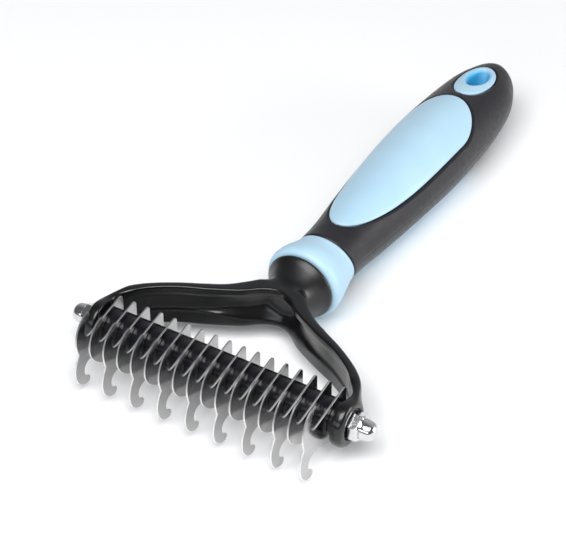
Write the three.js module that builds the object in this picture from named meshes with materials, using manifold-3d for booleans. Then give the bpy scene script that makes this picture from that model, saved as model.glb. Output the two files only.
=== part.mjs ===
// Double-sided undercoat rake: a forked yoke carries a keyed axle with seventeen stamped
// steel blades, and plugs into an overmoulded handle. Millimetres, +Z up, +X along the axle
// and +Y towards the butt of the handle.
import * as THREE from 'three';
import { mergeVertices } from 'three/addons/utils/BufferGeometryUtils.js';
import Module from 'manifold-3d';

const wasm = await Module();
wasm.setup();

// ---- driving dimensions -------------------------------------------------------------
const bladeCount = 17;
const bladePitch = 5;
const bladeThickness = 0.6;
const stackGap = 0.05;            // free play left on each side of a blade
const clearance = 0.3;            // gap between a piece and the one it sits in

const axleRadius = 2.5;
const axleFlat = 2;               // half the distance across the two flats
const axleLength = 103.4;
const bladeBoreRadius = axleRadius + 0.15;
const bladeBoreFlat = axleFlat + 0.15;
const spacerRadius = 5.7;
const spacerBoreRadius = axleRadius + clearance;

const bladeBack = 6;              // flat back edge of a blade, behind the axle
const bladeTop = 8.2;             // height of the heel corner above the axle
const heelRadius = 1.5;
const hubRadius = 8.1;
const frontReach = 20.3;          // furthest point of the hooks in front of the axle
const toothFront = 19;            // front of the short tooth, in front of the axle

const bossInner = 42.2;
const bossOuter = 46.2;
const bossRadius = 7.9;
const bossChamfer = 1.6;
const nutSeatDepth = 1.2;
const nutSeatRadius = 5.4;
const nutAcrossFlats = 8;
const nutHexHeight = 4.6;
const nutLength = 9.2;
const nutDomeRadius = 3.7;

const armHeight = 15;
const armRimHeight = 2.6;         // rim left above and below the recess in an arm's front face
const armRecessDepth = 0.8;
const crotchRecessDepth = 2.4;    // the recess deepens towards the neck
const armRounding = 2;            // rounding of the arm's two back edges
const armStations = 14;
const neckEnd = 46.9;
const tangWidth = 12;
const tangHeight = 9;
const tangEnd = 86;

const collarFront = neckEnd + clearance;
const jointY = 63.2;              // where the collar meets the grip, on the handle axis
const jointSlope = 0.25;          // the joint leans forward at the top
const buttEnd = 183.8;
const bellyDepth = 14.95;         // lowest point of the handle below the axle
const gripWall = 2.2;
const innerEnd = 182;

const eyeFront = 152.7;             // the eyelet's narrow end, widest line and round end
const eyeWidest = 164.9;
const eyeRear = 175.3;
const eyeHalfWidth = 6.4;
const holeCentreY = 166.3;
const holeHalfWidth = 3.3;
const holeHalfLength = 6.2;
const eyeFaceTop = 9.8;           // height of the eyelet's two flat faces at the hole centre
const eyeFaceUnder = -12;
const eyeSlopeTop = THREE.MathUtils.degToRad(8);
const eyeSlopeUnder = THREE.MathUtils.degToRad(11);

const ringSegments = 16;
const handleSegments = 28;

// Handle sections along Y: half width, half thickness and how far the centre droops.
const handleStations = [
  [56, 10.9, 10.9, 0],
  [63, 10.3, 10.3, 0],
  [72, 10.6, 10.6, 0.15],
  [84, 11.8, 11.8, 0.35],
  [98, 13.1, 12.9, 0.6],
  [114, 14.2, 13.8, 0.85],
  [129, 14.7, 13.9, 1.05],
  [143, 14.5, 13.3, 1.3],
  [156, 13.9, 12, 1.4],
  [168, 12.3, 10.6, 1.15],
  [175.5, 9.7, 8.9, 0.75],
  [180.2, 6.8, 7.2, 0.4],
  [182.75, 3, 4.6, 0.25],
];

// ---- materials ----------------------------------------------------------------------
function material(color, roughness, metalness) {
  return new THREE.MeshStandardMaterial({ color, roughness, metalness });
}
const yokeMaterial = () => material(0x15151a, 0.22, 0);
const coreMaterial = () => material(0xa9def5, 0.4, 0);
const gripMaterial = () => material(0x35363b, 0.7, 0);
const bladeMaterial = () => material(0xc9cacc, 0.22, 1);
const spacerMaterial = () => material(0x121218, 0.2, 0);
const chromeMaterial = () => material(0xd8dadd, 0.08, 1);
const axleMaterial = () => material(0x9fa2a6, 0.35, 1);

// ---- solids -------------------------------------------------------------------------
function toSolid(geometry) {
  const bare = geometry.clone();
  bare.deleteAttribute('normal');
  bare.deleteAttribute('uv');
  const merged = mergeVertices(bare, 1e-4);
  const corners = merged.index.array;
  const kept = [];
  for (let i = 0; i < corners.length; i += 3) {
    const [a, b, c] = [corners[i], corners[i + 1], corners[i + 2]];
    if (a !== b && b !== c && c !== a) kept.push(a, b, c);
  }
  const vertProperties = new Float32Array(merged.attributes.position.array);
  const triVerts = new Uint32Array(kept);
  return new wasm.Manifold(new wasm.Mesh({ numProp: 3, vertProperties, triVerts }));
}

function toGeometry(solid) {
  const mesh = solid.getMesh();
  const geometry = new THREE.BufferGeometry();
  geometry.setAttribute('position', new THREE.BufferAttribute(mesh.vertProperties, 3));
  geometry.setIndex(new THREE.BufferAttribute(mesh.triVerts, 1));
  geometry.computeVertexNormals();
  return geometry;
}

// A solid of revolution about X, from [x, radius] pairs that start and end on the axis.
function turnedAboutX(profile, segments = ringSegments) {
  const points = profile.map(([x, radius]) => new THREE.Vector2(radius, x));
  return new THREE.LatheGeometry(points, segments).rotateZ(-Math.PI / 2);
}

function block(width, depth, height, x, y, z) {
  return new THREE.BoxGeometry(width, depth, height).translate(x, y, z);
}

// Skin over rings of `count` points each, closed by a fan over the first and last ring.
function loft(vertices, count, spans, flipped) {
  const faces = [];
  const face = (a, b, c) => faces.push(...(flipped ? [a, c, b] : [a, b, c]));
  for (let ring = 0; ring < spans; ring += 1) {
    for (let i = 0; i < count; i += 1) {
      const a = ring * count + i;
      const b = ring * count + ((i + 1) % count);
      face(a, b, b + count);
      face(a, b + count, a + count);
    }
  }
  const last = spans * count;
  const outline = Array.from({ length: count }, (_, i) => i);
  const flat = outline.map((i) => sectionPoint(vertices, i));
  for (const [a, b, c] of THREE.ShapeUtils.triangulateShape(flat, [])) {
    face(a, b, c);
    face(last + c, last + b, last + a);
  }
  const geometry = new THREE.BufferGeometry();
  geometry.setAttribute('position', new THREE.Float32BufferAttribute(vertices, 3));
  geometry.setIndex(faces);
  return geometry;
}

// Point i of the first ring, seen in the plane of that ring.
function sectionPoint(vertices, i) {
  const along = Math.hypot(vertices[3 * i] - vertices[0], vertices[3 * i + 1] - vertices[1]);
  return new THREE.Vector2(along, vertices[3 * i + 2]);
}

// A plate cut to a Y-Z outline and centred on x = 0.
function plateAcrossX(outline, thickness, curveSegments) {
  const options = { depth: thickness, bevelEnabled: false, curveSegments };
  const geometry = new THREE.ExtrudeGeometry(outline, options);
  return geometry.translate(0, 0, -thickness / 2).rotateX(Math.PI / 2).rotateZ(Math.PI / 2);
}

// A prism with an X-Y outline, from z = bottom to z = top.
function prism(outline, bottom, top, curveSegments) {
  const options = { depth: top - bottom, bevelEnabled: false, curveSegments };
  return new THREE.ExtrudeGeometry(outline, options).translate(0, 0, bottom);
}

// ---- blades -------------------------------------------------------------------------
function keyedBore() {
  const bore = new THREE.Path();
  const angle = Math.asin(bladeBoreFlat / bladeBoreRadius);
  bore.absarc(0, 0, bladeBoreRadius, -angle, angle, false);
  bore.absarc(0, 0, bladeBoreRadius, Math.PI - angle, Math.PI + angle, false);
  bore.closePath();
  return bore;
}

// Outline in (Y, Z): heel, upper edge, short tooth, then either the long hook or a plain toe.
function bladeOutline(hooked) {
  const heel = new THREE.Shape();
  heel.moveTo(bladeBack, bladeTop - heelRadius);
  heel.absarc(bladeBack - heelRadius, bladeTop - heelRadius, heelRadius, 0, 1.73, false);
  heel.lineTo(-9.4, 5.7);
  heel.bezierCurveTo(-12, 5.1, -14.6, 4.9, -14.4, 8);
  heel.quadraticCurveTo(-14.3, 11, -12, 12.5);
  heel.absarc(-12.4, 13.4, 0.9, -1.1, 1.9, false);
  heel.bezierCurveTo(-16.4, 13.4, -toothFront, 9.8, -toothFront, 5.8);
  if (hooked) longHook(heel);
  else plainToe(heel);
  const start = Math.atan2(-6.6, -4.7);
  const end = Math.atan2(-5.4, bladeBack);
  heel.absarc(0, 0, hubRadius, start, end, false);
  heel.closePath();
  heel.holes.push(keyedBore());
  return heel;
}

function longHook(outline) {
  outline.quadraticCurveTo(-18.8, 3, -17.9, 0.8);
  outline.bezierCurveTo(-19.4, -1, -frontReach, -2.9, -frontReach, -5);
  outline.bezierCurveTo(-frontReach, -8.6, -18.4, -11.8, -15.2, -12.3);
  outline.absarc(-14.6, -11, 1.4, -1.9, 1.2, false);
  outline.bezierCurveTo(-15.3, -9.3, -15.9, -8, -15.8, -6.7);
  outline.bezierCurveTo(-15.6, -4.2, -13.4, -3.9, -10.4, -4.1);
}

function plainToe(outline) {
  outline.bezierCurveTo(-toothFront, 2.2, -15.8, -2.2, -10.4, -4.1);
}

function blade(hooked) {
  return plateAcrossX(bladeOutline(hooked), bladeThickness, 3);
}

// ---- axle, spacers and nuts ---------------------------------------------------------
function ringAboutX(length) {
  const half = length / 2;
  return turnedAboutX([
    [-half, spacerBoreRadius], [-half, spacerRadius], [half, spacerRadius],
    [half, spacerBoreRadius], [-half, spacerBoreRadius],
  ]);
}

function axle() {
  const half = axleLength / 2;
  const tip = 0.6;
  const round = toSolid(turnedAboutX([
    [-half, 0], [-half, axleRadius - tip], [-half + tip, axleRadius],
    [half - tip, axleRadius], [half, axleRadius - tip], [half, 0],
  ]));
  const keyedLength = 2 * bossInner - 2;
  let solid = round;
  for (const side of [1, -1]) {
    const cutHeight = 2;
    const z = side * (axleFlat + cutHeight / 2);
    const cut = toSolid(block(keyedLength, 4 * axleRadius, cutHeight, 0, 0, z));
    solid = solid.subtract(cut);
  }
  return toGeometry(solid);
}

// Dome nut with its seat face at x = 0 and its dome towards +X.
function domeNut() {
  const cornerRadius = nutAcrossFlats / Math.sqrt(3);
  const hexagon = new THREE.CylinderGeometry(cornerRadius, cornerRadius, nutHexHeight, 6);
  hexagon.rotateZ(-Math.PI / 2).translate(nutHexHeight / 2, 0, 0);
  const chamfer = toSolid(turnedAboutX([
    [0, 0], [0, cornerRadius - 0.7], [0.5, cornerRadius + 0.1],
    [nutHexHeight - 0.7, cornerRadius + 0.1], [nutHexHeight, cornerRadius - 0.9],
    [nutHexHeight, 0],
  ]));
  const domeStart = nutLength - nutDomeRadius + 0.6;
  const dome = [[nutHexHeight - 1, 0], [nutHexHeight - 1, nutDomeRadius]];
  const steps = 6;
  for (let i = 0; i <= steps; i += 1) {
    const angle = (Math.PI / 2) * (i / steps);
    const x = domeStart + (nutLength - domeStart) * Math.sin(angle);
    dome.push([x, nutDomeRadius * Math.cos(angle)]);
  }
  dome[dome.length - 1][1] = 0;
  const boreEnd = axleLength / 2 - (bossOuter - nutSeatDepth) + clearance;
  const boreRadius = axleRadius + clearance;
  const bore = toSolid(turnedAboutX([
    [-1, 0], [-1, boreRadius], [boreEnd, boreRadius], [boreEnd + 0.9, 0],
  ]));
  const body = toSolid(hexagon).intersect(chamfer);
  return toGeometry(body.add(toSolid(turnedAboutX(dome))).subtract(bore));
}

// ---- yoke ---------------------------------------------------------------------------
// Plan curves of the right arm, from the boss to the middle of the yoke.
const armBack = new THREE.SplineCurve([
  [45.9, 2.6], [43.6, 9.4], [38.4, 15.3], [30.2, 20.9], [22.8, 24.9], [16.6, 28.4],
  [11.2, 33.2], [6, 38.4], [0, 41],
].map(([x, y]) => new THREE.Vector2(x, y)));
const armFront = new THREE.SplineCurve([
  [bossInner, 5.9], [40.6, 8.2], [35.7, 13.6], [28.2, 18.7], [19.2, 22.8], [10.4, 27.4],
  [5, 31.2], [0, 33.4],
].map(([x, y]) => new THREE.Vector2(x, y)));

// Section of an arm as [share of the thickness, offset in mm, height] from front to back.
function armSection(recess) {
  const top = armHeight / 2;
  const rim = top - armRimHeight;
  const upper = [
    [0, recess, rim - 0.7], [0, 0, rim], [0, 0, top], [1, -armRounding, top],
    [1, -0.3 * armRounding, top - 0.3 * armRounding], [1, 0, top - armRounding],
  ];
  const lower = upper.map(([share, offset, z]) => [share, offset, -z]).reverse();
  return [...upper, ...lower];
}

function arm(side) {
  const vertices = [];
  const count = armSection(0).length;
  for (let i = 0; i <= armStations; i += 1) {
    const t = i / armStations;
    const front = armFront.getPointAt(t);
    const across = armBack.getPointAt(t).sub(front);
    const thickness = across.length();
    const deeper = THREE.MathUtils.smoothstep(t, 0.6, 1) * (crotchRecessDepth - armRecessDepth);
    const recess = armRecessDepth * THREE.MathUtils.smoothstep(t, 0, 0.2) + deeper;
    for (const [share, offset, z] of armSection(recess)) {
      const reach = (share * thickness + offset) / thickness;
      vertices.push(side * (front.x + across.x * reach), front.y + across.y * reach, z);
    }
  }
  return toSolid(loft(vertices, count, armStations, side < 0));
}

function boss(side) {
  const profile = [
    [bossInner, 0], [bossInner, bossRadius - bossChamfer / 2],
    [bossInner + bossChamfer / 2, bossRadius], [bossOuter - bossChamfer, bossRadius],
    [bossOuter, bossRadius - bossChamfer], [bossOuter, 0],
  ];
  const solid = toSolid(turnedAboutX(profile, 28));
  return side > 0 ? solid : toSolid(toGeometry(solid).rotateZ(Math.PI));
}

function bossBore(side) {
  const seat = bossOuter - nutSeatDepth;
  const bore = turnedAboutX([
    [bossInner - 1, 0], [bossInner - 1, spacerBoreRadius], [seat, spacerBoreRadius],
    [seat, nutSeatRadius], [bossOuter + 1, nutSeatRadius], [bossOuter + 1, 0],
  ]);
  return toSolid(side > 0 ? bore : bore.rotateZ(Math.PI));
}

function neck() {
  const profile = [
    [0, 36.6], [7, 36.6], [8.1, 38.4], [8.9, 41], [10.2, 43.8], [11.4, 45.6],
    [11.6, 46.3], [11.2, neckEnd], [0, neckEnd],
  ];
  const points = profile.map(([radius, y]) => new THREE.Vector2(radius, y));
  return toSolid(new THREE.LatheGeometry(points, handleSegments));
}

function tang() {
  const start = neckEnd - 2;
  const length = tangEnd - start;
  return toSolid(block(tangWidth, length, tangHeight, 0, start + length / 2, 0));
}

function yoke() {
  let solid = neck().add(tang());
  for (const side of [1, -1]) {
    solid = solid.add(arm(side)).add(boss(side)).subtract(bossBore(side));
  }
  return toGeometry(solid);
}

// ---- handle -------------------------------------------------------------------------
// A body along Y through [y, half width, half thickness] stations, closed at both ends.
function handleBody(stations) {
  const first = stations[0];
  const last = stations[stations.length - 1];
  const tipY = last[0] + last[1] * 0.35;
  const rows = [[first[0], 0, 1, first[3]], ...stations, [tipY, 0, 1, last[3]]];
  const points = rows.map(([y, width]) => new THREE.Vector2(width, y));
  const geometry = new THREE.LatheGeometry(points, handleSegments);
  const position = geometry.attributes.position;
  for (let i = 0; i < position.count; i += 1) {
    const [, width, height, droop] = rows[i % rows.length];
    const flatness = width > 0 ? height / width : 1;
    position.setZ(i, position.getZ(i) * flatness - droop);
  }
  return toSolid(geometry);
}

function insetStations(inset) {
  const inside = handleStations.filter(([y]) => y < innerEnd);
  return inside.map(([y, width, height, droop]) => [y, width - inset, height - inset, droop]);
}

// Egg-shaped plan outline from a narrower front, through its widest line, to a round rear.
function eggOutline(front, widest, rear, half, fullness) {
  const side = widest - fullness * (widest - front);
  const outline = new THREE.Shape();
  outline.moveTo(0, front);
  outline.bezierCurveTo(0.75 * half, front, half, side, half, widest);
  outline.absellipse(0, widest, half, rear - widest, 0, Math.PI, false);
  outline.bezierCurveTo(-half, side, -0.75 * half, front, 0, front);
  return outline;
}

// Outline of the panel on each face of the handle.
function panelOutline(inset) {
  return eggOutline(68.6 + inset, 132.5, 150.3 - inset, 13 - inset, 0.5);
}

// Outline of the eyelet round the hanging hole.
function eyeOutline(inset) {
  return eggOutline(eyeFront + inset, eyeWidest, eyeRear - inset, eyeHalfWidth - inset, 0.45);
}

function eyeHole() {
  const outline = new THREE.Shape();
  outline.absellipse(0, holeCentreY, holeHalfWidth, holeHalfLength, 0, 2 * Math.PI, false);
  return toSolid(prism(outline, -bellyDepth, bellyDepth, 10));
}

// The eyelet reaches through the handle and ends in a sloping flat face on each side.
function eyelet() {
  let solid = toSolid(prism(eyeOutline(clearance), -bellyDepth, bellyDepth, 8));
  const height = 20;
  const faces = [[1, eyeFaceTop, eyeSlopeTop], [-1, eyeFaceUnder, eyeSlopeUnder]];
  for (const [side, faceZ, slope] of faces) {
    const cut = new THREE.BoxGeometry(30, 60, height).translate(0, 0, (side * height) / 2);
    cut.rotateX(-side * slope).translate(0, holeCentreY, faceZ);
    solid = solid.subtract(toSolid(cut));
  }
  return solid;
}

// Everything behind the leaning joint between collar and grip, moved back by a gap.
function behindJoint(gap) {
  const size = 200;
  const half = new THREE.BoxGeometry(size, size, size).translate(0, size / 2, 0);
  half.rotateX(Math.atan(jointSlope)).translate(0, jointY + gap, 0);
  return toSolid(half);
}

function collar() {
  const profile = [
    [0, collarFront], [11.7, collarFront], [12.7, collarFront + 1], [13, collarFront + 2.6],
    [12.4, 53.5], [11.2, 58], [10.4, 62], [10.4, 68], [0, 68],
  ];
  const points = profile.map(([radius, y]) => new THREE.Vector2(radius, y));
  return toSolid(new THREE.LatheGeometry(points, handleSegments));
}

function handleCore() {
  const outer = handleBody(handleStations);
  let solid = handleBody(insetStations(gripWall + clearance));
  solid = solid.add(collar().subtract(behindJoint(-clearance)));
  for (const side of [1, -1]) {
    const bottom = side > 0 ? 1 : -20;
    const column = toSolid(prism(panelOutline(clearance), bottom, bottom + 19, 8));
    solid = solid.add(column.intersect(outer));
  }
  const room = clearance;
  const socketLength = tangEnd + 1 - collarFront + 4;
  const socket = block(
    tangWidth + 2 * room, socketLength, tangHeight + 2 * room,
    0, tangEnd + 1 - socketLength / 2, 0,
  );
  return toGeometry(solid.add(eyelet()).subtract(eyeHole()).subtract(toSolid(socket)));
}

function handleGrip() {
  let solid = handleBody(handleStations).subtract(handleBody(insetStations(gripWall)));
  solid = solid.intersect(behindJoint(0));
  for (const side of [1, -1]) {
    const bottom = side > 0 ? 1 : -20;
    solid = solid.subtract(toSolid(prism(panelOutline(0), bottom, bottom + 19, 8)));
  }
  return toGeometry(solid.subtract(toSolid(prism(eyeOutline(0), -20, 20, 8))));
}

// ---- assembly -----------------------------------------------------------------------
const rake = new THREE.Group();
rake.name = 'undercoat_rake';
// The origin is under the middle of the rake, on the surface that it lies on.
rake.position.set(0, -(buttEnd - frontReach) / 2, bellyDepth);

function place(name, geometry, look, x = 0) {
  const mesh = new THREE.Mesh(geometry, look);
  mesh.name = name;
  mesh.position.x = x;
  rake.add(mesh);
  return mesh;
}

function numbered(name, index) {
  return `${name}_${String(index).padStart(2, '0')}`;
}

place('yoke', yoke(), yokeMaterial());
place('handle_core', handleCore(), coreMaterial());
place('handle_grip', handleGrip(), gripMaterial());
place('axle', axle(), axleMaterial());

const firstBladeX = (-(bladeCount - 1) / 2) * bladePitch;
const spacerLength = bladePitch - bladeThickness - 2 * stackGap;
for (let i = 0; i < bladeCount; i += 1) {
  const x = firstBladeX + i * bladePitch;
  const hooked = i % 2 === 0;
  place(numbered(hooked ? 'hook_blade' : 'short_blade', i + 1), blade(hooked), bladeMaterial(), x);
  if (i < bladeCount - 1) {
    const ring = ringAboutX(spacerLength);
    place(numbered('spacer', i + 1), ring, spacerMaterial(), x + bladePitch / 2);
  }
}

const lastBladeFace = -firstBladeX + bladeThickness / 2;
const endSpacerLength = bossInner - lastBladeFace - 2 * stackGap;
for (const [side, label] of [[-1, 'left'], [1, 'right']]) {
  const ring = ringAboutX(endSpacerLength);
  const ringX = side * (lastBladeFace + stackGap + endSpacerLength / 2);
  place(`end_spacer_${label}`, ring, spacerMaterial(), ringX);
  const nut = place(`dome_nut_${label}`, domeNut(), chromeMaterial());
  nut.position.x = side * (bossOuter - nutSeatDepth + stackGap);
  if (side < 0) nut.rotation.z = Math.PI;
}

export default rake;
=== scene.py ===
"""Visual model of the undercoat rake: millimetres from the middle of the axle, +X along the
axle, +Y towards the butt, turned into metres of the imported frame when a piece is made."""
import math

import bmesh
import bpy
import numpy as np
from mathutils import Matrix, Vector
from mathutils.bvhtree import BVHTree
from mathutils.geometry import tessellate_polygon


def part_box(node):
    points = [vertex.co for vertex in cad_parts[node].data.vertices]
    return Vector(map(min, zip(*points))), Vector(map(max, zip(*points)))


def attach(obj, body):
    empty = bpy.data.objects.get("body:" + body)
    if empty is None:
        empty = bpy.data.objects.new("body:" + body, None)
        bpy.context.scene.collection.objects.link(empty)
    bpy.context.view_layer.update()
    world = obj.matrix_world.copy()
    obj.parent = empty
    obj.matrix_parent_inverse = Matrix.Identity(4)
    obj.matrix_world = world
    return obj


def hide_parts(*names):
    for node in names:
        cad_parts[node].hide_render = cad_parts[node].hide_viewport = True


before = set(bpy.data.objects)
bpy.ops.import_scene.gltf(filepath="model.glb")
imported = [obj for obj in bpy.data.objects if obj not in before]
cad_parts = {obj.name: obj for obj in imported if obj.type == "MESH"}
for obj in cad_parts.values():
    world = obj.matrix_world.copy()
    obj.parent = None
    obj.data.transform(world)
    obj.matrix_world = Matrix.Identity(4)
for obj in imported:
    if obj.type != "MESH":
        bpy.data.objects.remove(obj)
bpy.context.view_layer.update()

MM = 0.001
low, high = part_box("axle")
HUB = (Vector(low) + Vector(high)) / 2
TO_FRAME = Matrix.Translation(HUB) @ Matrix.Scale(MM, 4)

BLADES = 17
PITCH = 5.0
BLADE_THICKNESS = 0.6
PLAY = 0.05                     # free play between neighbours on the axle
ARM_TOP = 7.5
RIM_HEIGHT = 2.6
BOSS_INNER, BOSS_OUTER, BOSS_RADIUS = 42.2, 46.2, 7.9
SEAT_X, SEAT_RADIUS = 45.0, 5.1
ROD_HOLE = 2.8                  # radius of the hole in the bosses and spacers
SPACER_RADIUS = 5.7
NUT_APOTHEM, NUT_CORNER = 4.0, 4.75
NUT_DOME, NUT_DOME_TOP = 3.42, 3.14
NUT_LENGTH = 9.2
COLLAR_FRONT = 47.2
JOINT_Y, JOINT_SLOPE = 63.2, 0.25   # the joint of collar and grip leans forward at the top
GAP = 0.3
HOLE_Y, HOLE_HALF_WIDTH, HOLE_HALF_LENGTH = 166.3, 3.3, 6.2
PANEL_SINK, EYELET_SINK = 1.6, 1.2  # depth of the beds in the grip
SEAM_DEPTH = 0.07

# Egg-shaped outlines seen from above: (front, widest, rear, half width, fullness).
PANEL = (68.6, 132.5, 150.3, 13, 0.5)
EYELET = (152.7, 164.9, 175.3, 6.4, 0.45)

# [y, half width, half thickness, droop] along the handle.
HANDLE = [
    (50, 11.4, 11.4, 0), (56, 10.9, 10.9, 0), (63, 10.3, 10.3, 0), (72, 10.6, 10.6, 0.15),
    (84, 11.8, 11.8, 0.35), (98, 13.1, 12.9, 0.6), (114, 14.2, 13.8, 0.85),
    (129, 14.7, 13.9, 1.05), (143, 14.5, 13.3, 1.3), (156, 13.9, 12, 1.4),
    (168, 12.3, 10.6, 1.15), (175.5, 9.7, 8.9, 0.75), (180.2, 6.8, 7.2, 0.4),
    (182.75, 3, 4.6, 0.25), (183.8, 0, 0, 0.25),
]


# ---- camera -------------------------------------------------------------------------
def make_camera():
    """Camera that looks down at the front right of the head."""
    camera = bpy.data.objects.new("camera", bpy.data.cameras.new("camera"))
    bpy.context.scene.collection.objects.link(camera)
    right = Vector((0.853873, 0.520481, 0.000312))
    up = Vector((-0.330517, 0.541766, 0.772818))
    back = Vector((0.402068, -0.659992, 0.634627))
    pose = Matrix((right, up, back)).transposed().to_4x4()
    pose.translation = HUB + Vector((287.83, -436.49, 468.71)) * MM
    camera.matrix_world = pose
    camera.data.sensor_width = 36
    camera.data.lens = 147.27
    camera.data.clip_start = 0.01
    camera.data.clip_end = 20
    bpy.context.scene.camera = camera


# ---- plane curves -------------------------------------------------------------------
def bezier(p0, p1, p2, p3, steps=10):
    out = []
    for i in range(1, steps + 1):
        t = i / steps
        a, b, c, d = (1 - t) ** 3, 3 * t * (1 - t) ** 2, 3 * t * t * (1 - t), t ** 3
        out.append((a * p0[0] + b * p1[0] + c * p2[0] + d * p3[0],
                    a * p0[1] + b * p1[1] + c * p2[1] + d * p3[1]))
    return out


def quadratic(p0, p1, p2, steps=8):
    out = []
    for i in range(1, steps + 1):
        t = i / steps
        a, b, c = (1 - t) ** 2, 2 * t * (1 - t), t * t
        out.append((a * p0[0] + b * p1[0] + c * p2[0], a * p0[1] + b * p1[1] + c * p2[1]))
    return out


def arc(cx, cy, radius, start, end, steps=8):
    turns = [start + (end - start) * i / steps for i in range(steps + 1)]
    return [(cx + radius * math.cos(a), cy + radius * math.sin(a)) for a in turns]


def spline(points, count):
    """Uniform Catmull-Rom curve through points of any dimension, at equal steps of length."""
    p = np.array(points, float)
    p = np.vstack([p[0], p, p[-1]])
    dense = []
    t = np.linspace(0, 1, 24, endpoint=False)[:, None]
    for i in range(1, len(p) - 2):
        a, b, c, d = p[i - 1], p[i], p[i + 1], p[i + 2]
        dense.append(0.5 * (2 * b + (c - a) * t + (2 * a - 5 * b + 4 * c - d) * t ** 2
                            + (3 * b - a - 3 * c + d) * t ** 3))
    dense = np.vstack(dense + [p[-2][None]])
    length = np.concatenate([[0], np.cumsum(np.linalg.norm(np.diff(dense, axis=0), axis=1))])
    wanted = np.linspace(0, length[-1], count)
    return np.stack([np.interp(wanted, length, dense[:, k]) for k in range(p.shape[1])], 1)


def fillet(corners, closed=True):
    """Rounds the corners of a polygon given as (u, v, radius, steps)."""
    out = []
    n = len(corners)
    for i, (u, v, radius, steps) in enumerate(corners):
        here = Vector((u, v))
        if not closed and i in (0, n - 1) or radius <= 0:
            out.append((u, v))
            continue
        before = Vector(corners[i - 1][:2]) - here
        after = Vector(corners[(i + 1) % n][:2]) - here
        cut = [min(radius, 0.48 * side.length) for side in (before, after)]
        start = here + (before.normalized() * cut[0] if before.length else before)
        end = here + (after.normalized() * cut[1] if after.length else after)
        out.append(tuple(start))
        out.extend(quadratic(start, here, end, steps))
    return out


def smoothstep(x, a, b):
    t = np.clip((x - a) / (b - a), 0, 1)
    return t * t * (3 - 2 * t)


# ---- meshes -------------------------------------------------------------------------
def new_mesh(name, vertices, faces):
    mesh = bpy.data.meshes.new(name)
    mesh.from_pydata([tuple(v) for v in vertices], [], faces)
    work = bmesh.new()
    work.from_mesh(mesh)
    bmesh.ops.remove_doubles(work, verts=work.verts, dist=1e-5)
    bmesh.ops.recalc_face_normals(work, faces=work.faces)
    work.to_mesh(mesh)
    work.free()
    return mesh


def grid_faces(rows, columns, close_rows=False):
    """Quads over rows of points, each row a closed ring."""
    faces = []
    for i in range(rows if close_rows else rows - 1):
        k = (i + 1) % rows
        for j in range(columns):
            m = (j + 1) % columns
            faces.append((i * columns + j, i * columns + m, k * columns + m, k * columns + j))
    return faces


def turned(profile, axis, segments=72, closed=False):
    """Solid of revolution from (along, radius) points about X or Y."""
    vertices = []
    for along, radius in profile:
        for j in range(segments):
            a = 2 * math.pi * j / segments
            p, q = radius * math.cos(a), radius * math.sin(a)
            vertices.append((along, p, q) if axis == "X" else (p, along, q))
    faces = grid_faces(len(profile), segments, closed)
    return new_mesh("turned", vertices, faces)


def modified(mesh, kind, **settings):
    """The mesh after one modifier."""
    obj = bpy.data.objects.new("work", mesh)
    bpy.context.scene.collection.objects.link(obj)
    modifier = obj.modifiers.new("work", kind)
    for key, value in settings.items():
        setattr(modifier, key, value)
    bpy.context.view_layer.update()
    shape = obj.evaluated_get(bpy.context.evaluated_depsgraph_get())
    result = bpy.data.meshes.new_from_object(shape)
    result.materials.clear()
    bpy.data.objects.remove(obj)
    return result


def combined(mesh, other, operation):
    """Union, difference or intersection of two closed meshes."""
    tool = bpy.data.objects.new("tool", other)
    bpy.context.scene.collection.objects.link(tool)
    result = modified(mesh, "BOOLEAN", object=tool, operation=operation, solver="MANIFOLD")
    bpy.data.objects.remove(tool)
    return result


def coordinates(mesh):
    flat = np.zeros(len(mesh.vertices) * 3)
    mesh.vertices.foreach_get("co", flat)
    return flat.reshape(-1, 3)


def piece(name, mesh, material, nodes, sharp=35):
    """Puts a finished mesh into the frame as a named piece of the rake."""
    mesh.name = name
    mesh.transform(TO_FRAME)
    mesh.materials.append(material)
    mesh.shade_smooth()
    if sharp < 180:
        mesh.set_sharp_from_angle(angle=math.radians(sharp))
    obj = bpy.data.objects.new(name, mesh)
    bpy.context.scene.collection.objects.link(obj)
    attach(obj, "root")
    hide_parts(*nodes)
    return obj


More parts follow.
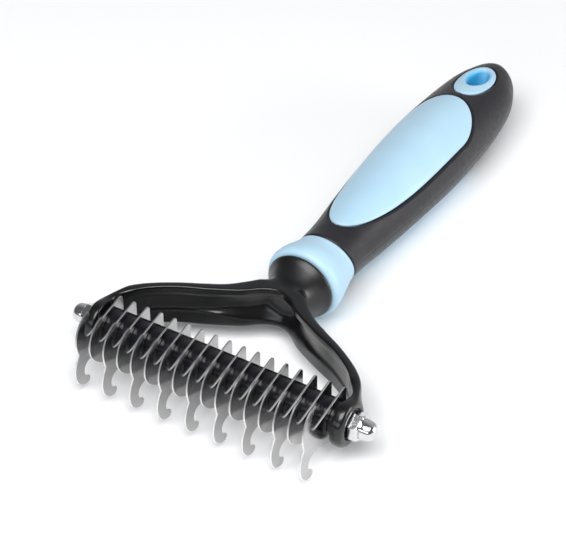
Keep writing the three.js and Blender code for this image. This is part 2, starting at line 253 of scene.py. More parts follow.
# ---- materials ----------------------------------------------------------------------
class Finish:
    """A Principled material whose colour, roughness and relief come from procedural noise."""

    def __init__(self, name, **values):
        self.material = bpy.data.materials.new(name)
        self.material.use_nodes = True
        self.tree = self.material.node_tree
        self.shader = self.tree.nodes["Principled BSDF"]
        for key, value in values.items():
            self.shader.inputs[key.replace("_", " ")].default_value = value
        self.place = self.tree.nodes.new("ShaderNodeTexCoord").outputs["Object"]

    def noise(self, scale, detail=3.0, stretch=(1, 1, 1), distortion=0.0):
        mapping = self.tree.nodes.new("ShaderNodeMapping")
        mapping.inputs["Scale"].default_value = stretch
        self.tree.links.new(self.place, mapping.inputs["Vector"])
        node = self.tree.nodes.new("ShaderNodeTexNoise")
        node.inputs["Scale"].default_value = scale
        node.inputs["Detail"].default_value = detail
        node.inputs["Distortion"].default_value = distortion
        self.tree.links.new(mapping.outputs["Vector"], node.inputs["Vector"])
        return node.outputs["Fac"]

    def along(self, axis, start, end):
        """0 to 1 between two places, in millimetres from the middle of the axle."""
        split = self.tree.nodes.new("ShaderNodeSeparateXYZ")
        self.tree.links.new(self.place, split.inputs["Vector"])
        ramp = self.tree.nodes.new("ShaderNodeMapRange")
        middle = HUB["XYZ".index(axis)]
        ramp.inputs["From Min"].default_value = middle + start * MM
        ramp.inputs["From Max"].default_value = middle + end * MM
        self.tree.links.new(split.outputs[axis], ramp.inputs["Value"])
        return ramp.outputs["Result"]

    def mixed(self, share, key, value):
        """Blends the input of that name towards a value."""
        mix = self.tree.nodes.new("ShaderNodeMixRGB")
        mix.inputs["Color2"].default_value = value
        socket = self.shader.inputs[key]
        self.tree.links.new(share, mix.inputs["Fac"])
        self.tree.links.new(socket.links[0].from_socket, mix.inputs["Color1"])
        self.tree.links.new(mix.outputs["Color"], socket)
        return self

    def colour(self, source, dark, light, start=0.3, end=0.7):
        ramp = self.tree.nodes.new("ShaderNodeValToRGB")
        ramp.color_ramp.elements[0].position = start
        ramp.color_ramp.elements[0].color = (*dark, 1)
        ramp.color_ramp.elements[1].position = end
        ramp.color_ramp.elements[1].color = (*light, 1)
        self.tree.links.new(source, ramp.inputs["Fac"])
        self.tree.links.new(ramp.outputs["Color"], self.shader.inputs["Base Color"])
        return self

    def roughness(self, source, least, most):
        spread = self.tree.nodes.new("ShaderNodeMapRange")
        spread.inputs["From Min"].default_value = 0.3
        spread.inputs["From Max"].default_value = 0.7
        spread.inputs["To Min"].default_value = least
        spread.inputs["To Max"].default_value = most
        self.tree.links.new(source, spread.inputs["Value"])
        self.tree.links.new(spread.outputs["Result"], self.shader.inputs["Roughness"])
        return self

    def relief(self, source, depth, strength=1.0):
        """Bump of that depth in metres; a second call adds to the first."""
        bump = self.tree.nodes.new("ShaderNodeBump")
        bump.inputs["Strength"].default_value = strength
        bump.inputs["Distance"].default_value = depth
        self.tree.links.new(source, bump.inputs["Height"])
        previous = self.shader.inputs["Normal"].links
        if previous:
            self.tree.links.new(previous[0].from_socket, bump.inputs["Normal"])
        self.tree.links.new(bump.outputs["Normal"], self.shader.inputs["Normal"])
        return self


def yoke_plastic():
    """Gloss black on the arms, satin from the neck back."""
    look = Finish("yoke_plastic", Specular_IOR_Level=0.5)
    look.colour(look.noise(90), (0.003, 0.003, 0.0035), (0.006, 0.006, 0.0065))
    look.roughness(look.noise(350, 4), 0.19, 0.27)
    look.mixed(look.along("Y", 36, 41), "Roughness", (0.38, 0.38, 0.38, 1))
    look.relief(look.noise(160, 2), 0.00006, 0.5)
    look.relief(look.noise(2600, 2), 0.000006, 0.6)
    return look.material


def core_finish(name):
    look = Finish(name, Specular_IOR_Level=0.45)
    look.colour(look.noise(60, 2), (0.385, 0.58, 0.72), (0.425, 0.62, 0.75))
    look.roughness(look.noise(700, 4), 0.36, 0.46)
    look.relief(look.noise(3500, 3), 0.00001, 0.5)
    return look


def core_plastic():
    return core_finish("core_plastic").material


def hole_plastic():
    """The light blue plastic, with painted shade: deeper blue down the wall of the hanging hole.
    """
    look = core_finish("core_plastic_eye")
    tree = look.tree
    middle = HUB + Vector((0, HOLE_Y, 0)) * MM
    reach = (1 / (HOLE_HALF_WIDTH * 1.5 * MM), 1 / (HOLE_HALF_LENGTH * 1.3 * MM), 0)
    place = tree.nodes.new("ShaderNodeMapping")
    place.inputs["Scale"].default_value = reach
    place.inputs["Location"].default_value = [-m * k for m, k in zip(middle, reach)]
    tree.links.new(look.place, place.inputs["Vector"])
    near = tree.nodes.new("ShaderNodeTexGradient")
    near.gradient_type = "SPHERICAL"
    tree.links.new(place.outputs["Vector"], near.inputs["Vector"])
    hole_shade = tree.nodes.new("ShaderNodeMapRange")
    hole_shade.interpolation_type = "SMOOTHSTEP"
    hole_shade.inputs["From Min"].default_value = 0.12
    hole_shade.inputs["From Max"].default_value = 0.36
    tree.links.new(near.outputs["Fac"], hole_shade.inputs["Value"])
    # painted shade: a deeper, darker blue mixed in down the wall of the hole
    look.mixed(hole_shade.outputs["Result"], "Base Color", (0.06, 0.44, 0.74, 1))
    return look.material


def grip_rubber():
    look = Finish("grip_rubber", Sheen_Weight=0.12, Sheen_Roughness=0.4,
                  Specular_IOR_Level=0.35)
    look.colour(look.noise(150, 4), (0.009, 0.0082, 0.0115), (0.014, 0.013, 0.0175))
    look.roughness(look.noise(500, 4), 0.42, 0.55)
    look.relief(look.noise(5200, 3), 0.00002, 0.6)
    return look.material


def blade_steel():
    look = Finish("blade_steel", Metallic=1.0)
    along = look.noise(420, 4, stretch=(1, 0.25, 6))
    look.colour(along, (0.42, 0.415, 0.415), (0.50, 0.495, 0.495))
    look.roughness(look.noise(900, 4, stretch=(1, 0.2, 4)), 0.1, 0.22)
    look.relief(look.noise(1800, 3, stretch=(1, 0.12, 5)), 0.000006, 0.6)
    return look.material


def sheared_steel():
    """The cut edges of the blades: brighter and rougher than their rolled faces, with painted
    shade that darkens them towards the tops of the fins."""
    look = Finish("sheared_steel", Metallic=1.0)
    look.colour(look.noise(900, 3), (0.74, 0.73, 0.71), (0.86, 0.85, 0.83))
    look.roughness(look.noise(1600, 3), 0.3, 0.42)
    # painted shade: the edge colour darkens towards the tops of the fins
    look.mixed(look.along("Z", 4.5, 9), "Base Color", (0.3, 0.3, 0.31, 1))
    return look.material


def spacer_plastic():
    look = Finish("spacer_plastic", Specular_IOR_Level=0.45)
    look.colour(look.noise(200), (0.003, 0.003, 0.005), (0.006, 0.006, 0.009))
    look.roughness(look.noise(500, 4, stretch=(6, 0.6, 0.6)), 0.14, 0.3)
    look.relief(look.noise(900, 3, stretch=(4, 0.15, 0.15)), 0.000002, 0.4)
    return look.material


def nut_chrome():
    look = Finish("nut_chrome", Metallic=1.0)
    look.colour(look.noise(700, 3), (0.62, 0.62, 0.63), (0.70, 0.70, 0.71))
    look.roughness(look.noise(1500, 4), 0.12, 0.2)
    look.relief(look.noise(500, 2), 0.000002, 0.3)
    return look.material


def axle_steel():
    look = Finish("axle_steel", Metallic=1.0)
    look.colour(look.noise(600, 4, stretch=(0.1, 1, 1)), (0.5, 0.5, 0.51), (0.62, 0.62, 0.63))
    look.roughness(look.noise(800, 4, stretch=(0.1, 1, 1)), 0.25, 0.4)
    return look.material


# ---- blades -------------------------------------------------------------------------
def blade_outline(hooked):
    """Outline in (y, z), counter-clockwise."""
    hub = 8.1
    out = arc(4.5, 6.7, 1.5, 0, 1.73, 8)
    out += [(-9.4, 5.7)]
    out += bezier((-9.4, 5.7), (-12, 5.1), (-14.6, 4.9), (-14.4, 8))
    out += quadratic((-14.4, 8), (-14.3, 11), (-12, 12.5))
    out += arc(-12.4, 13.4, 0.9, -1.1, 1.9, 9)
    out += bezier(out[-1], (-16.4, 13.4), (-19, 9.8), (-19, 5.8))
    if hooked:
        out += quadratic((-19, 5.8), (-18.8, 3), (-17.9, 0.8))
        out += bezier((-17.9, 0.8), (-19.4, -1), (-20.3, -2.9), (-20.3, -5))
        out += bezier((-20.3, -5), (-20.3, -8.6), (-18.4, -11.8), (-15.2, -12.3))
        out += arc(-14.6, -11, 1.4, -1.9, 1.2, 12)
        out += bezier(out[-1], (-15.3, -9.3), (-15.9, -8), (-15.8, -6.7))
        out += bezier((-15.8, -6.7), (-15.6, -4.2), (-13.4, -3.9), (-10.4, -4.1))
    else:
        out += bezier((-19, 5.8), (-19, 2.2), (-15.8, -2.2), (-10.4, -4.1))
    out += arc(0, 0, hub, math.atan2(-6.6, -4.7), math.atan2(-5.4, 6), 14)
    clean = [out[0]]
    for point in out[1:]:
        if math.dist(point, clean[-1]) > 0.08:
            clean.append(point)
    return clean


def keyed_bore():
    """Round hole with two flats that fit the flats of the axle."""
    radius, flat = 2.65, 2.15
    angle = math.asin(flat / radius)
    return (arc(0, 0, radius, -angle, angle, 8)
            + arc(0, 0, radius, math.pi - angle, math.pi + angle, 8))


def shifted(loop, distance):
    """The loop moved to the left of its own direction by a small distance."""
    out = []
    n = len(loop)
    for i in range(n):
        before = Vector(loop[i]) - Vector(loop[i - 1])
        after = Vector(loop[(i + 1) % n]) - Vector(loop[i])
        way = (before.normalized() + after.normalized()).normalized()
        out.append((loop[i][0] - way.y * distance, loop[i][1] + way.x * distance))
    return out


def blade(hooked):
    """Stamped blade in the plane x = 0; its cut edges use the second material."""
    edge = 0.1
    half = BLADE_THICKNESS / 2
    rim, bore = blade_outline(hooked), keyed_bore()
    flat_rim, flat_bore = shifted(rim, edge), shifted(bore, -edge)
    vertices, faces = [], []
    for loop, x in ((flat_rim, half), (rim, half - edge), (rim, edge - half),
                    (flat_rim, -half)):
        vertices += [(x, y, z) for y, z in loop]
    start = len(vertices)
    for loop, x in ((flat_bore, half), (bore, half - edge), (bore, edge - half),
                    (flat_bore, -half)):
        vertices += [(x, y, z) for y, z in loop]
    n, m = len(rim), len(bore)
    faces += grid_faces(4, n)
    faces += [tuple(start + k for k in face) for face in grid_faces(4, m)]
    cap = tessellate_polygon([[Vector((*p, 0)) for p in flat_rim],
                              [Vector((*p, 0)) for p in flat_bore]])
    for corners in cap:
        faces.append(tuple(k if k < n else start + k - n for k in corners))
        faces.append(tuple(3 * n + k if k < n else start + 3 * m + k - n for k in corners))
    mesh = new_mesh("blade", vertices, faces)
    for polygon in mesh.polygons:
        polygon.material_index = 0 if abs(polygon.normal.x) > 0.9 else 1
    return mesh


def make_blades(steel, sheared):
    for i in range(BLADES):
        hooked = i % 2 == 0
        mesh = blade(hooked)
        mesh.transform(Matrix.Translation(((i - (BLADES - 1) / 2) * PITCH, 0, 0)))
        kind = "hook_blade" if hooked else "short_blade"
        node = f"{kind}_{i + 1:02d}"
        obj = piece(f"visual_{node}", mesh, steel, [node], sharp=30)
        obj.data.materials.append(sheared)


# ---- spacers, nuts ------------------------------------------------------------------
def spacer(start, end):
    edge = 0.15
    corners = [(start, ROD_HOLE, edge, 3), (start, SPACER_RADIUS, edge, 4),
               (end, SPACER_RADIUS, edge, 4), (end, ROD_HOLE, edge, 3)]
    return turned(fillet(corners), "X", 80, closed=True)


def make_spacers(plastic):
    first = -(BLADES - 1) / 2 * PITCH
    inset = BLADE_THICKNESS / 2 + PLAY
    for i in range(BLADES - 1):
        x = first + i * PITCH
        mesh = spacer(x + inset, x + PITCH - inset)
        node = f"spacer_{i + 1:02d}"
        piece(f"visual_{node}", mesh, plastic, [node])
    for label, start, end in (("left", first - inset, -BOSS_INNER + PLAY),
                              ("right", -first + inset, BOSS_INNER - PLAY)):
        mesh = spacer(min(start, end), max(start, end))
        node = f"end_spacer_{label}"
        piece(f"visual_{node}", mesh, plastic, [node])


def nut_stations():
    """(x, radius, hexagonal) from the bottom of the blind bore to the top of the dome."""
    bore, dome_start, steps = 2.8, 6.7, 14
    out = [(7.3, 0.0, False), (6.95, bore, False), (0.4, bore, False), (0, 3.1, False)]
    skirt = [(0, 3.9, 0.1, 2), (0.55, NUT_CORNER, 0.4, 4), (3.85, NUT_CORNER, 0.5, 5),
             (4.62, 3.85, 0.15, 2)]
    out += [(x, r, True) for x, r in fillet(skirt, closed=False)]
    out += [(4.66, 3.35, False), (4.85, 3.36, False), (5.1, NUT_DOME, False),
            (dome_start, NUT_DOME_TOP, False)]
    for i in range(1, steps + 1):
        angle = math.pi / 2 * i / steps
        x = dome_start + (NUT_LENGTH - dome_start) * math.sin(angle)
        out.append((x, NUT_DOME_TOP * math.cos(angle) if i < steps else 0.0, False))
    return out


def dome_nut():
    segments, blend = 96, 0.06
    vertices = []
    stations = nut_stations()
    for x, radius, hexagonal in stations:
        for j in range(segments):
            a = 2 * math.pi * j / segments
            r = radius
            if hexagonal:
                away = (a + math.pi / 6) % (math.pi / 3) - math.pi / 6
                side = NUT_APOTHEM / math.cos(away)
                spread = max(blend - abs(side - r), 0) / blend
                r = min(side, r) - spread * spread * blend / 4
            vertices.append((x, r * math.cos(a), r * math.sin(a)))
    return new_mesh("nut", vertices, grid_faces(len(stations), segments))


def make_nuts(chrome):
    for side, label in ((-1, "left"), (1, "right")):
        mesh = dome_nut()
        turn = Matrix.Rotation(math.pi, 4, "Z") if side < 0 else Matrix.Identity(4)
        mesh.transform(Matrix.Translation((side * (SEAT_X + PLAY), 0, 0)) @ turn)
        node = f"dome_nut_{label}"
        piece(f"visual_{node}", mesh, chrome, [node], sharp=28)


# ---- yoke ---------------------------------------------------------------------------
def arm_section(thickness, recess, t):
    """Channel section of the arm as (across, height), from the front recess round the back.
    The lower flange is tall beside the blades; towards the crotch its ledge becomes a long
    slope that runs out at the bottom edge."""
    rim = ARM_TOP - RIM_HEIGHT
    flange = 2.6 + 2.7 * float(smoothstep(t, 0.02, 0.2)) - 4.1 * float(smoothstep(t, 0.5, 1))
    ledge = flange - ARM_TOP
    scoop = float(smoothstep(t, 0.42, 0.75))
    bend = (1 - scoop) * (ledge + 0.8) - 1.2 * scoop
    return fillet([
        (recess, 1.5, 0, 1), (recess, rim - 0.8, 0.8, 5), (0, rim, 0.35, 3),
        (0, ARM_TOP, 0.4, 4), (thickness, ARM_TOP, 2.1, 7), (thickness, -ARM_TOP, 2.1, 7),
        (0, -ARM_TOP, 0.4, 4), (0, ledge, 0.35, 3), (recess, bend, 0.8 + 1.6 * scoop, 7),
    ])


def arm_band():
    """Both arms as one band from the left boss through the middle to the right boss."""
    count = 70
    back = spline([(45.9, 2.6), (43.6, 9.4), (38.4, 15.3), (30.2, 20.9), (22.8, 24.9),
                   (16.6, 28.4), (11.2, 33.2), (6, 38.4), (0, 41)], count)
    front = spline([(BOSS_INNER, 5.9), (40.6, 8.2), (35.7, 13.6), (28.2, 18.7), (19.2, 22.8),
                    (10.4, 27.4), (5.6, 31.1), (2.2, 32.9), (0, 33.3)], count)
    rings = []
    for i in range(count):
        t = i / (count - 1)
        across = back[i] - front[i]
        thickness = float(np.linalg.norm(across))
        recess = 0.6 * smoothstep(t, 0, 0.2) + 3.4 * smoothstep(t, 0.45, 1)
        section = arm_section(thickness, float(recess), t)
        rings.append([(*(front[i] + across * (u / thickness)), z) for u, z in section])
    rings = [[(-x, y, z) for x, y, z in ring] for ring in rings] + rings[-2::-1]
    size = len(rings[0])
    vertices = [point for ring in rings for point in ring]
    faces = grid_faces(len(rings), size)
    faces.append(tuple(range(size)))
    faces.append(tuple(len(vertices) - size + k for k in range(size)))
    return new_mesh("arms", vertices, faces)


def boss(side):
    corners = [(BOSS_INNER, 0, 0, 1), (BOSS_INNER, BOSS_RADIUS, 0.8, 5),
               (BOSS_OUTER, BOSS_RADIUS, 2.4, 8), (BOSS_OUTER, 0, 0, 1)]
    profile = [(side * x, r) for x, r in fillet(corners, closed=False)]
    return turned(profile, "X", 96)


def boss_bore(side):
    """Rod hole and nut seat of one boss, reaching past both of its faces."""
    start, end = 40, 50
    profile = [(start, 0), (start, ROD_HOLE), (SEAT_X, ROD_HOLE), (SEAT_X, SEAT_RADIUS),
               (end, SEAT_RADIUS), (end, 0)]
    return turned([(side * x, r) for x, r in profile], "X", 72)


def neck():
    """Flared neck with a lip against the collar."""
    rising = spline([(5.5, 35.6), (7.2, 36.9), (8.1, 38.6), (8.9, 41), (10.1, 43.8),
                     (11.2, 45.4)], 22)
    lip = [(r, y) for y, r in fillet([(45.4, 11.2, 0, 1), (46.2, 11.75, 0.5, 5),
                                      (46.9, 11.3, 0.4, 4), (46.9, 0, 0, 1)], closed=False)]
    profile = [(35.6, 0)] + [(y, r) for r, y in rising] + [(y, r) for r, y in lip[1:]]
    return turned(profile, "Y", 112)


def remeshed(solid, voxel, softened, rounds):
    """Even mesh over a solid: edges keep a fine rounding, and softened(points) gives the
    share, from 0 to 1, by which each place melts into a fillet."""
    mesh = modified(solid, "REMESH", mode="VOXEL", voxel_size=voxel)
    work = bmesh.new()
    work.from_mesh(solid)
    tree = BVHTree.FromBMesh(work)
    work.free()
    points = coordinates(mesh)
    edges = np.zeros(len(mesh.edges) * 2, np.int64)
    mesh.edges.foreach_get("vertices", edges)
    a, b = edges.reshape(-1, 2).T
    degree = np.bincount(a, minlength=len(points)) + np.bincount(b, minlength=len(points))

    def relaxed(p):
        total = np.zeros_like(p)
        np.add.at(total, a, p[b])
        np.add.at(total, b, p[a])
        return total / degree[:, None]

    for _ in range(2):
        points += 0.5 * (relaxed(points) - points)
    snapped = np.array([tree.find_nearest(Vector(p))[0] for p in points])
    share = softened(snapped)[:, None]
    points = snapped
    for _ in range(rounds):
        points = points + share * 0.7 * (relaxed(points) - points)
    points = points + 0.35 * (relaxed(points) - points)
    mesh.vertices.foreach_set("co", points.ravel())
    mesh.update()
    return mesh


def yoke_fillets(p):
    """Share of softening at each point: round the neck, at the bosses and in the crotch."""
    x, y = np.abs(p[:, 0]), p[:, 1]
    at_neck = smoothstep(y, 35.2, 37.4) * (1 - smoothstep(y, 41.5, 44))
    at_neck = at_neck * (1 - smoothstep(x, 10, 13))
    at_boss = smoothstep(y, -2, 3) * (1 - smoothstep(y, 8, 12)) * smoothstep(x, 38.5, 41)
    outer = np.hypot(y, p[:, 2])
    at_boss = at_boss * smoothstep(outer, 6.2, 7.2)
    at_crotch = (1 - smoothstep(x, 10, 17)) * (1 - smoothstep(np.abs(p[:, 2] + 1), 4.5, 6))
    return np.maximum(np.maximum(at_neck, at_boss), at_crotch * (y < 38))


def make_yoke(plastic):
    solid = combined(arm_band(), neck(), "UNION")
    for side in (-1, 1):
        solid = combined(solid, boss(side), "UNION")
    for side in (-1, 1):
        solid = combined(solid, boss_bore(side), "DIFFERENCE")
    voxel = 0.4
    mesh = remeshed(solid, voxel, yoke_fillets, rounds=36)
    piece("visual_yoke", mesh, plastic, ["yoke"], sharp=180)


# ---- handle -------------------------------------------------------------------------
PROFILE = spline(HANDLE, 900)


def handle_at(y):
    """Half width, half thickness and droop at y."""
    return tuple(np.interp(y, PROFILE[:, 0], PROFILE[:, k]) for k in (1, 2, 3))


def egg(shape, inset=0.0, steps=40):
    """Plan outline from the narrow front, counter-clockwise seen from above."""
    front, widest, rear, half, fullness = shape
    front, rear, half = front + inset, rear - inset, half - inset
    side = widest - fullness * (widest - front)
    right = bezier((0, front), (0.75 * half, front), (half, side), (half, widest), steps)
    round_end = [(half * math.cos(a), widest + (rear - widest) * math.sin(a))
                 for a in np.linspace(0, math.pi, steps + 1)[1:]]
    left = [(-x, y) for x, y in reversed(right[:-1])]
    return [(0, front)] + right + round_end + left


def inside_distance(x, y, outline):
    """Distance from plan points to the outline, positive inside."""
    loop = np.array(outline)
    best = np.full(x.shape, 1e9)
    for start, end in zip(loop, np.roll(loop, -1, axis=0)):
        way = end - start
        length = max(float(way @ way), 1e-12)
        t = np.clip(((x - start[0]) * way[0] + (y - start[1]) * way[1]) / length, 0, 1)
        best = np.minimum(best, np.hypot(x - start[0] - t * way[0], y - start[1] - t * way[1]))
    half = loop[loop[:, 0] >= 0]
    half = half[np.argsort(half[:, 1])]
    width = np.interp(y, half[:, 1], half[:, 0], left=-1, right=-1)
    return np.where(np.abs(x) < width, best, -best)


def skin_point(x, y, upper, depth):
    """Point under the handle's skin at plan place x, y, that far in along the normal."""
    width, height, droop = handle_at(y)
    share = np.clip(np.abs(x) / np.maximum(width, 1e-6), 0, 0.9995)
    z = height * np.sqrt(1 - share ** 2)
    normal = np.stack([x / width ** 2, np.zeros_like(x), z / height ** 2], -1)
    normal /= np.linalg.norm(normal, axis=-1, keepdims=True)
    point = np.stack([x, y, z], -1) - normal * np.asarray(depth)[..., None]
    sign = 1 if upper else -1
    return np.stack([point[..., 0], point[..., 1], sign * point[..., 2] - droop], -1)


def grip_sink(x, y, z):
    """Depth of the grip's skin below the handle's: beds, rounded front edge and side seam."""
    panel = smoothstep(inside_distance(x, y, egg(PANEL)), -0.3, 0.25)
    eyelet = smoothstep(inside_distance(x, y, egg(EYELET)), -0.3, 0.25)
    sink = np.maximum(PANEL_SINK * panel, EYELET_SINK * eyelet)
    edge = 1 - np.clip((y - y[0][None]) / 0.6, 0, 1)
    sink = np.maximum(sink, 0.5 * (1 - np.sqrt(1 - edge ** 2)))
    seam = np.exp(-(z / 0.3) ** 2) * (1 - smoothstep(y, 179, 182))
    return sink + SEAM_DEPTH * seam


def grip_mesh():
    """Overmould from the leaning joint to the butt, cut through where the eyelet sits."""
    columns, rows = ((240, 370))
    angles = np.linspace(0, 2 * math.pi, columns, endpoint=False)
    first = 63
    base = spline([row for row in HANDLE if row[0] >= first], rows)[:, 0]
    base[0] = first
    y = np.repeat(base[:, None], columns, 1)
    lean = 1 - smoothstep(y, first, 92)
    for _ in range(3):
        _, height, droop = handle_at(y)
        z = height * np.cos(angles)[None] - droop
        y = base[:, None] + (JOINT_Y - first - JOINT_SLOPE * z) * lean
    width, height, droop = handle_at(y)
    x = width * np.sin(angles)[None]
    z = height * np.cos(angles)[None]
    normal = np.stack([x / np.maximum(width, 0.01) ** 2, 0 * x,
                       z / np.maximum(height, 0.01) ** 2], -1)
    normal /= np.maximum(np.linalg.norm(normal, axis=-1, keepdims=True), 1e-9)
    points = np.stack([x, y, z - droop], -1) - normal * grip_sink(x, y, z)[..., None]
    inner = points[0] * np.array([0.75, 1, 0.75])
    inner[:, 1] = JOINT_Y - JOINT_SLOPE * inner[:, 2]
    centre = np.array([[0, JOINT_Y, 0]] * columns)
    rings = np.concatenate([centre[None], inner[None], points[:-1]])
    butt, _, _, butt_droop = HANDLE[-1]
    tip = np.array([[0, butt, -butt_droop]] * columns)
    rings = np.concatenate([rings, tip[None]])
    mesh = new_mesh("grip", rings.reshape(-1, 3), grid_faces(len(rings), columns))
    return combined(mesh, column(egg(EYELET, 0.12)), "DIFFERENCE")


def column(outline):
    """Upright prism through the whole handle."""
    n, reach = len(outline), 25
    vertices = [(x, y, z) for z in (-reach, reach) for x, y in outline]
    faces = grid_faces(2, n) + [tuple(range(n)), tuple(range(n, 2 * n))]
    return new_mesh("column", vertices, faces)


def panel_mesh(upper):
    """Closed inlay that follows the skin, with a rounded edge."""
    outline = np.array(egg(PANEL, 0.34))
    centre = np.array([0, 122.0])
    reach = np.linalg.norm(outline - centre, axis=1)
    round_edge, thickness = 0.55, 1.15
    rings, depths = [], []
    for share in np.linspace(0.0, 1, 26):
        rings.append(centre + (outline - centre) * share * (1 - round_edge / reach)[:, None])
        depths.append(0.0)
    for k in range(1, 7):
        angle = math.pi / 2 * k / 6
        gap = round_edge * (1 - math.sin(angle))
        rings.append(centre + (outline - centre) * (1 - gap / reach)[:, None])
        depths.append(round_edge * (1 - math.cos(angle)))
    rings.append(outline)
    depths.append(thickness)
    for share in np.linspace(0.97, 0, 12):
        rings.append(centre + (outline - centre) * share)
        depths.append(thickness)
    plan = np.array(rings)
    depth = np.repeat(np.array(depths)[:, None], len(outline), 1)
    points = skin_point(plan[..., 0], plan[..., 1], upper, depth)
    return new_mesh("panel", points.reshape(-1, 3), grid_faces(len(rings), len(outline)))


def eye_mesh():
    """Ring round the hanging hole, through the handle from skin to skin."""
    count = 96
    lip_width, lip_depth = 1.3, 1.5     # rounding into the hole
    rim, proud, foot = 0.5, 0.1, 2.0    # outer rounding, height over the skin, depth of the edge
    waist_share = 0.86
    outline = np.array(egg(EYELET, 0.4))
    centre = np.array([0, HOLE_Y])
    spoke = outline - centre
    order = np.argsort(np.arctan2(spoke[:, 1], spoke[:, 0]))
    bearing, length = np.arctan2(spoke[:, 1], spoke[:, 0])[order], np.hypot(*spoke.T)[order]
    angles = np.linspace(-math.pi, math.pi, count, endpoint=False)
    outer = np.interp(angles, bearing, length, period=2 * math.pi)
    inner = 1 / np.hypot(np.cos(angles) / HOLE_HALF_WIDTH, np.sin(angles) / HOLE_HALF_LENGTH)
    way = np.stack([np.cos(angles), np.sin(angles)], 1)

    def ring(radius, depth, upper):
        plan = centre + way * radius[:, None]
        return skin_point(plan[:, 0], plan[:, 1], upper, np.full(count, depth))

    def half(upper):
        rings = []
        for k in range(9):
            angle = math.pi / 2 * k / 8
            lip = lip_width * (1 - math.cos(angle))
            rings.append(ring(inner + lip, lip_depth * (1 - math.sin(angle)) - proud, upper))
        for share in np.linspace(0, 1, 8)[1:]:
            span = outer - rim - inner - lip_width
            rings.append(ring(inner + lip_width + span * share, -proud, upper))
        for k in range(1, 6):
            angle = math.pi / 2 * k / 5
            rings.append(ring(outer - rim * (1 - math.sin(angle)),
                              rim * (1 - math.cos(angle)) - proud, upper))
        rings.append(ring(outer, foot, upper))
        return rings

    def waist(height):
        plan = centre + way * (inner * waist_share)[:, None]
        return np.stack([plan[:, 0], plan[:, 1], np.full(count, height)], 1)

    top, under = half(True), half(False)
    inside = [waist(-4.0), waist(-1.2), waist(1.6)]
    rings = inside + top + under[::-1]
    return new_mesh("eye", np.concatenate(rings), grid_faces(len(rings), count, True))


def collar_mesh():
    """Bell between the yoke's neck and the grip, cut off along the leaning joint."""
    front = fillet([(COLLAR_FRONT, 0, 0, 1), (COLLAR_FRONT, 11.9, 0.5, 3),
                    (COLLAR_FRONT + 0.9, 12.8, 0.6, 4)], closed=False)
    bell = spline([(COLLAR_FRONT + 0.9, 12.8), (COLLAR_FRONT + 2.5, 13.05), (53.5, 12.4),
                   (58, 11.2), (61, 10.55), (JOINT_Y, 10.3)], 34)
    profile = front[:-1] + [tuple(p) for p in bell]
    columns, rings = 120, []
    last = JOINT_Y - GAP
    for y, radius in profile:
        ring = []
        for j in range(columns):
            a = 2 * math.pi * j / columns
            shift = -JOINT_SLOPE * radius * math.cos(a) * float(smoothstep(y, 50, JOINT_Y))
            share = (last - JOINT_Y) * float(smoothstep(y, 58, JOINT_Y))
            ring.append((radius * math.sin(a), y + share + shift, radius * math.cos(a)))
        rings.append(ring)
    edge = rings[-1]
    rings[-1] = [(x * 0.985, y - 0.02, z * 0.985) for x, y, z in edge]
    rings.append([(x * 0.5, last - JOINT_SLOPE * z * 0.5, z * 0.5) for x, _, z in edge])
    rings.append([(0, last, 0)] * columns)
    vertices = [point for ring in rings for point in ring]
    return new_mesh("collar", vertices, grid_faces(len(rings), columns))


def make_handle(blue, rubber):
    piece("visual_grip", grip_mesh(), rubber, ["handle_grip"], sharp=50)
    core = ["handle_core"]
    piece("visual_collar", collar_mesh(), blue, core, sharp=50)
    piece("visual_panel_top", panel_mesh(True), blue, core, sharp=60)
    piece("visual_panel_under", panel_mesh(False), blue, core, sharp=60)
    piece("visual_eyelet", eye_mesh(), hole_plastic(), core, sharp=60)


# ---- stage --------------------------------------------------------------------------
def area_light(name, place, size, power, colour=(1, 1, 1)):
    """Rectangular light aimed at the middle of the floor."""
    data = bpy.data.lights.new(name, "AREA")
    data.shape = "RECTANGLE"
    data.size, data.size_y = size
    data.energy = power
    data.color = colour
    lamp = bpy.data.objects.new(name, data)
    bpy.context.scene.collection.objects.link(lamp)
    lamp.location = place
    lamp.rotation_euler = (-Vector(place)).to_track_quat("-Z", "Y").to_euler()


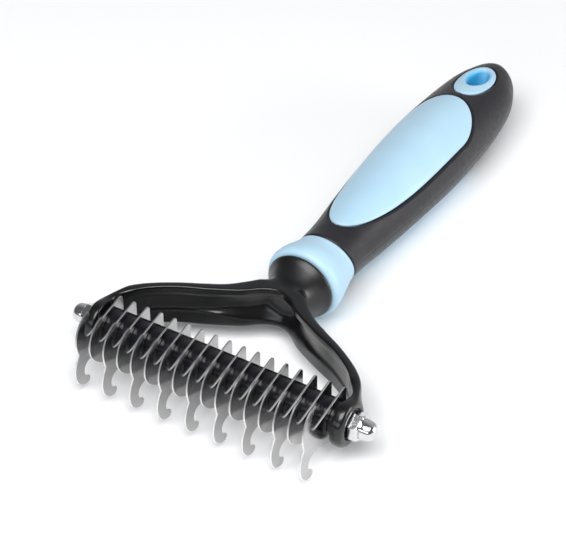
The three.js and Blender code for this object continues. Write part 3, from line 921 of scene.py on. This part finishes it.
def make_stage():
    """Pale floor, key light above the head, low window in front and a low side light."""
    mesh = bpy.data.meshes.new("floor")
    work = bmesh.new()
    bmesh.ops.create_grid(work, x_segments=8, y_segments=8, size=8)
    work.to_mesh(mesh)
    work.free()
    look = Finish("floor_paper", Specular_IOR_Level=0.1)
    look.colour(look.noise(2, 2), (0.90, 0.90, 0.905), (0.93, 0.93, 0.935))
    look.roughness(look.noise(40, 2), 0.85, 0.95)
    mesh.materials.append(look.material)
    floor = bpy.data.objects.new("floor", mesh)
    bpy.context.scene.collection.objects.link(floor)

    world = bpy.data.worlds.new("studio")
    world.use_nodes = True
    shade_world(world.node_tree)
    bpy.context.scene.world = world
    bpy.context.scene.view_settings.view_transform = "Standard"

    area_light("key_soft", (0.2, -0.6, 1.0), (1.0, 0.6), 16.5)
    area_light("window", (0, -1.12, 0.42), (1.3, 0.22), 3.0, (0.88, 0.94, 1))
    area_light("side_soft", (1.05, 0.4, 0.24), (0.7, 0.4), 6)


def shade_world(tree):
    """A grey studio: lighter wall behind the rake, darker room in front of it."""
    sky = tree.nodes["Background"]
    direction = tree.nodes.new("ShaderNodeTexCoord").outputs["Generated"]
    split = tree.nodes.new("ShaderNodeSeparateXYZ")
    tree.links.new(direction, split.inputs["Vector"])
    ramp = tree.nodes.new("ShaderNodeValToRGB")
    ramp.color_ramp.elements[0].position = 0.1
    ramp.color_ramp.elements[0].color = (0.13, 0.13, 0.135, 1)
    ramp.color_ramp.elements[1].position = 0.75
    ramp.color_ramp.elements[1].color = (0.52, 0.53, 0.55, 1)
    tree.links.new(split.outputs["Y"], ramp.inputs["Fac"])
    tree.links.new(ramp.outputs["Color"], sky.inputs["Color"])
    sky.inputs["Strength"].default_value = 1.0


make_camera()
make_stage()
make_blades(blade_steel(), sheared_steel())
make_spacers(spacer_plastic())
make_nuts(nut_chrome())
make_yoke(yoke_plastic())
make_handle(core_plastic(), grip_rubber())
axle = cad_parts["axle"]
axle.data.materials.clear()
axle.data.materials.append(axle_steel())
